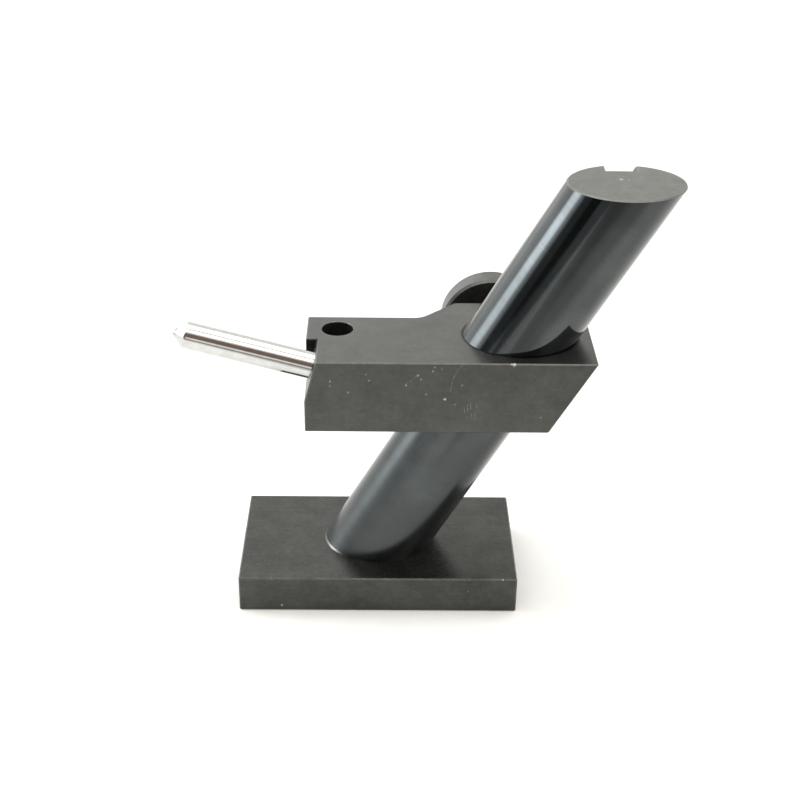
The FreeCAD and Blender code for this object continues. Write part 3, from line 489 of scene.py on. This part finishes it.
def threaded(name, place, r, pitch, depth, y0, y1, head, tail, mat, body, replaces, segs=72, step=0.1):
    """Rod along its own X with a real helical thread between y0 and y1; head and tail are plain (x, r) rings."""
    rows = int(round((y1 - y0) / step))
    bm = bmesh.new()

    def ring(x, rad):
        return [bm.verts.new((x * MM, rad * MM * math.cos(2 * math.pi * j / segs), rad * MM * math.sin(2 * math.pi * j / segs))) for j in range(segs)]

    rings = [ring(x, rr) for x, rr in head]
    for i in range(rows + 1):
        x = y0 + (y1 - y0) * i / rows
        fade = min(1.0, (x - y0) / pitch, (y1 - x) / pitch)
        rr = []
        for j in range(segs):
            p = (x / pitch - j / segs) % 1.0
            tri = abs(p - 0.5) * 2.0                # 1 at the crest, 0 at the root
            tri = min(1.0, max(0.0, (tri - 0.12) / 0.72))
            rad = r - depth * (1.0 - tri) * fade
            a = 2 * math.pi * j / segs
            rr.append(bm.verts.new((x * MM, rad * MM * math.cos(a), rad * MM * math.sin(a))))
        rings.append(rr)
    rings += [ring(x, rr) for x, rr in tail]
    for a, b in zip(rings, rings[1:]):
        for j in range(segs):
            j2 = (j + 1) % segs
            bm.faces.new((a[j], a[j2], b[j2], b[j]))
    for rg, x in ((rings[0], head[0][0]), (rings[-1], tail[-1][0])):
        c = bm.verts.new((x * MM, 0, 0))
        for j in range(segs):
            bm.faces.new((rg[j], rg[(j + 1) % segs], c))
    bmesh.ops.recalc_face_normals(bm, faces=bm.faces)
    me = bpy.data.meshes.new(name)
    bm.to_mesh(me)
    bm.free()
    ob = bpy.data.objects.new(name, me)
    bpy.context.scene.collection.objects.link(ob)
    me.transform(place)
    me.polygons.foreach_set("use_smooth", [True] * len(me.polygons))
    me.set_sharp_from_angle(angle=math.radians(28))
    me.materials.append(mat)
    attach(ob, body)
    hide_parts(*replaces)
    return ob


# clamp stud: own X along +Y, from the shoe out to the knob's back face
lo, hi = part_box("clamp_stud")
SX, SZ = (lo.x + hi.x) / 2, (lo.z + hi.z) / 2
STUD_PLACE = Matrix.Translation(Vector((SX, 0, SZ))) @ Matrix.Rotation(math.pi / 2, 4, "Z")
Y0, Y1 = lo.y / MM, hi.y / MM
threaded("stud_thread", STUD_PLACE, 4.76, 1.5875, 0.86, Y0 + 3.7, Y1 - 7.0,
         [(Y0, 2.75), (Y0 + 0.12, 2.97), (Y0 + 0.4, 3.15), (Y0 + 2.95, 3.15), (Y0 + 3.0, 4.1), (Y0 + 3.55, 4.74)],
         [(Y1 - 6.9, 4.76), (Y1 - 1.0, 4.76), (Y1 - 0.45, 4.72), (Y1 - 0.15, 4.5), (Y1, 4.2)],
         SCREW, "clamp_screw", ("clamp_stud",))


# ---------------------------------------------------------------- floor, light, camera
def floor_material():
    """Pale paper with painted light: brightest by the object, painted shade dimming it towards the open front."""
    m = Mat("paper_sweep")
    x, y = m.xyz()[0], m.xyz()[1]
    left = m.math("MAXIMUM", m.math("SUBTRACT", -20.0, x), 0.0)
    q = m.math("ADD", y, m.math("MULTIPLY", left, 2.2))
    # painted shade on the paper: its colour falls off away from the object, towards the front, the right and the back
    painted_falloff = m.math("MULTIPLY", m.span(q, -125.0, -260.0, 1.0, 0.57, smooth=True), m.span(q, -260.0, -700.0, 1.0, 0.44, smooth=True))
    painted_falloff = m.math("MULTIPLY", painted_falloff, m.span(x, 70.0, 240.0, 1.0, 0.86, smooth=True))
    painted_falloff = m.math("MULTIPLY", painted_falloff, m.span(y, 20.0, 220.0, 1.0, 0.88, smooth=True))
    fibre = m.noise(0.08, 3.0, 0.6)
    col = m.mix(m.span(fibre, 0.3, 0.7), (0.800, 0.800, 0.787), (0.822, 0.822, 0.809))
    col = m.mix(1.0, col, m.comb(painted_falloff, painted_falloff, painted_falloff), "MULTIPLY")
    return m.finish(col, 0.7, 0.0, m.bump(m.noise(1.2, 2.0), 0.02, 0.2), spec=0.15)


bm = bmesh.new()
for i, (x, y) in enumerate(((-4.2, -4.2), (4.2, -4.2), (4.2, 4.2), (-4.2, 4.2))):
    bm.verts.new((x, y, 0))
bm.verts.ensure_lookup_table()
bm.faces.new(bm.verts[:])
me = bpy.data.meshes.new("floor")
bm.to_mesh(me)
bm.free()
floor = bpy.data.objects.new("floor", me)
bpy.context.scene.collection.objects.link(floor)
me.materials.append(floor_material())
floor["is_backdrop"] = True


def direction(az, el):
    a, e = math.radians(az), math.radians(el)
    return (math.sin(a) * math.cos(e), math.cos(a) * math.cos(e), math.sin(e))


def make_world():
    """Inside of a light tent: bright walls, a soft lamp on the left, a dark room behind the camera."""
    w = bpy.data.worlds.new("light_tent")
    bpy.context.scene.world = w
    w.use_nodes = True
    t = w.node_tree
    t.nodes.clear()
    out = t.nodes.new("ShaderNodeOutputWorld")
    bg = t.nodes.new("ShaderNodeBackground")
    t.links.new(bg.outputs[0], out.inputs[0])
    tc = t.nodes.new("ShaderNodeTexCoord")
    sep = t.nodes.new("ShaderNodeSeparateXYZ")
    t.links.new(tc.outputs["Generated"], sep.inputs[0])
    x, y, z = sep.outputs

    def put(s, v):
        if isinstance(v, bpy.types.NodeSocket):
            t.links.new(v, s)
        elif isinstance(v, tuple):
            s.default_value = (*v, 1.0)
        else:
            s.default_value = v

    def op(kind, a, b=0.0):
        n = t.nodes.new("ShaderNodeMath")
        n.operation = kind
        put(n.inputs[0], a)
        put(n.inputs[1], b)
        return n.outputs[0]

    def ramp(v, none, full):
        n = t.nodes.new("ShaderNodeMapRange")
        n.interpolation_type = "SMOOTHSTEP"
        put(n.inputs["Value"], v)
        n.inputs["From Min"].default_value = none
        n.inputs["From Max"].default_value = full
        return n.outputs[0]

    flat = op("MAXIMUM", op("SQRT", op("ADD", op("MULTIPLY", x, x), op("MULTIPLY", y, y))), 1e-4)
    hx, hy = op("DIVIDE", x, flat), op("DIVIDE", y, flat)

    def round_to(az, full, none):
        """1 within full degrees of a compass direction, 0 beyond none."""
        a = math.radians(az)
        d = op("ADD", op("MULTIPLY", hx, math.sin(a)), op("MULTIPLY", hy, math.cos(a)))
        return ramp(d, math.cos(math.radians(none)), math.cos(math.radians(full)))

    def above(none, full):
        return ramp(z, math.sin(math.radians(none)), math.sin(math.radians(full)))

    def mix(f, a, b):
        n = t.nodes.new("ShaderNodeMix")
        n.data_type = "RGBA"
        put(n.inputs["Factor"], f)
        put([s for s in n.inputs if s.name == "A" and s.type == "RGBA"][0], a)
        put([s for s in n.inputs if s.name == "B" and s.type == "RGBA"][0], b)
        return [s for s in n.outputs if s.type == "RGBA"][0]

    col = mix(op("MULTIPLY", round_to(-55, 32, 66), above(70, 40)), (1.14, 1.14, 1.09), (1.75, 1.78, 1.76))
    col = mix(op("MULTIPLY", round_to(80, 35, 70), above(70, 40)), col, (1.35, 1.35, 1.31))
    col = mix(above(48, 60), col, (1.48, 1.47, 1.43))
    col = mix(above(64, 69), col, (0.98, 0.92, 0.85))
    # soft lamp behind the left wall, fading out towards the floor
    lamp = op("MULTIPLY", op("MULTIPLY", round_to(-79, 2, 15), above(-3, 17)), above(56, 40))
    col = mix(lamp, col, (7.6, 8.05, 8.2))
    # dark room past the open front; its lower limit rises towards the left and straight ahead
    lift = op("ADD", op("MULTIPLY", round_to(-108, 14, 32), 0.235), op("MULTIPLY", round_to(177, 4, 8), 0.345))
    z = op("SUBTRACT", z, lift)
    low = above(-10, -8)
    room = mix(round_to(-106, 14, 32), (0.300, 0.320, 0.315), (0.130, 0.150, 0.150))
    room = mix(round_to(178, 14, 24), room, (0.270, 0.190, 0.155))
    z = op("ADD", z, lift)
    patch = op("MULTIPLY", round_to(-128.5, 9.0, 10.0), above(4.6, 5.4))
    room = mix(patch, room, (0.0, 0.0, 0.0))
    side = op("MULTIPLY", round_to(-152, 47, 57), above(35, 24))
    ahead = op("MULTIPLY", round_to(176, 22, 34), above(48, 38))
    col = mix(op("MULTIPLY", op("MAXIMUM", side, ahead), low), col, room)
    t.links.new(col, bg.inputs["Color"])
    bg.inputs["Strength"].default_value = 1.0


make_world()


def area(name, loc, target, sx, sy, radiance, color=(1, 1, 1)):
    d = bpy.data.lights.new(name, "AREA")
    d.shape = "RECTANGLE"
    d.size, d.size_y = sx, sy
    d.energy = radiance * math.pi * sx * sy
    d.color = color
    o = bpy.data.objects.new(name, d)
    bpy.context.scene.collection.objects.link(o)
    o.location = loc
    o.rotation_mode = "QUATERNION"
    o.rotation_quaternion = (Vector(target) - Vector(loc)).to_track_quat("-Z", "Y")
    return o


area("top_back", (0.15, 0.335, 1.25), (0.15, 0.335, 0), 1.5, 0.85, 2.25, (1.0, 0.995, 0.965))
area("top_front", (0.15, -0.58, 1.25), (0.15, -0.58, 0), 1.5, 0.56, 1.6, (1.0, 0.93, 0.85))

cam = bpy.data.cameras.new("camera")
cam.lens = 63.854
cam.sensor_width = 36.0
cam.clip_start, cam.clip_end = 0.01, 20.0
cam_ob = bpy.data.objects.new("camera", cam)
bpy.context.scene.collection.objects.link(cam_ob)
right, up, fwd = Vector((0.99989, -0.00795, 0.01276)), Vector((-0.00732, 0.48398, 0.87505)), Vector((0.01314, 0.87504, -0.48387))
rot = Matrix((right, up, -fwd)).transposed().to_4x4()
cam_ob.matrix_world = Matrix.Translation(Vector((0.000722, -0.448200, 0.321237))) @ rot
bpy.context.scene.camera = cam_ob
bpy.context.scene.view_settings.view_transform = "Standard"
bpy.context.scene.view_settings.look = "None"
bpy.context.scene.view_settings.exposure = 0.0
bpy.context.scene.view_settings.gamma = 1.0

bpy.context.view_layer.update()
lo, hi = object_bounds()
